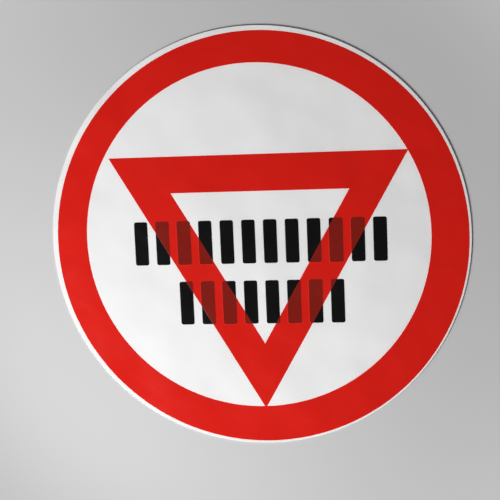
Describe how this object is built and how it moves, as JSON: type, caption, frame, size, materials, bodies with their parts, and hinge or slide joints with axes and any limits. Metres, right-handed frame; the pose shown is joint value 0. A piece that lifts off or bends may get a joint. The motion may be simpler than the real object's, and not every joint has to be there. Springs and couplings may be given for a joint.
{
  "type": "alarm warning sticker",
  "caption": "Flat round window sticker: clear film on white backing paper, printed with a red ring, a red triangle pointing down and rows of plain black blocks.",
  "frame": {"origin": "middle of the round sheet, on the underside of the backing paper", "axes": "+Z out of the printed face, +Y towards the bar at the top of the sign, +X to the right of someone who looks at the print"},
  "size_m": [0.08, 0.08, 0.0004],
  "materials": {
    "backing_paper": "smooth white release paper",
    "clear_film": "clear glossy vinyl film with its adhesive",
    "black_ink": "satin screen printing ink",
    "red_ink": "satin screen printing ink, thin enough for black to darken it"
  },
  "bodies": {
    "root": {"backing_paper": "backing_paper", "clear_film": "clear_film", "black_print": "black_ink", "red_print": "red_ink"}
  },
  "joints": []
}
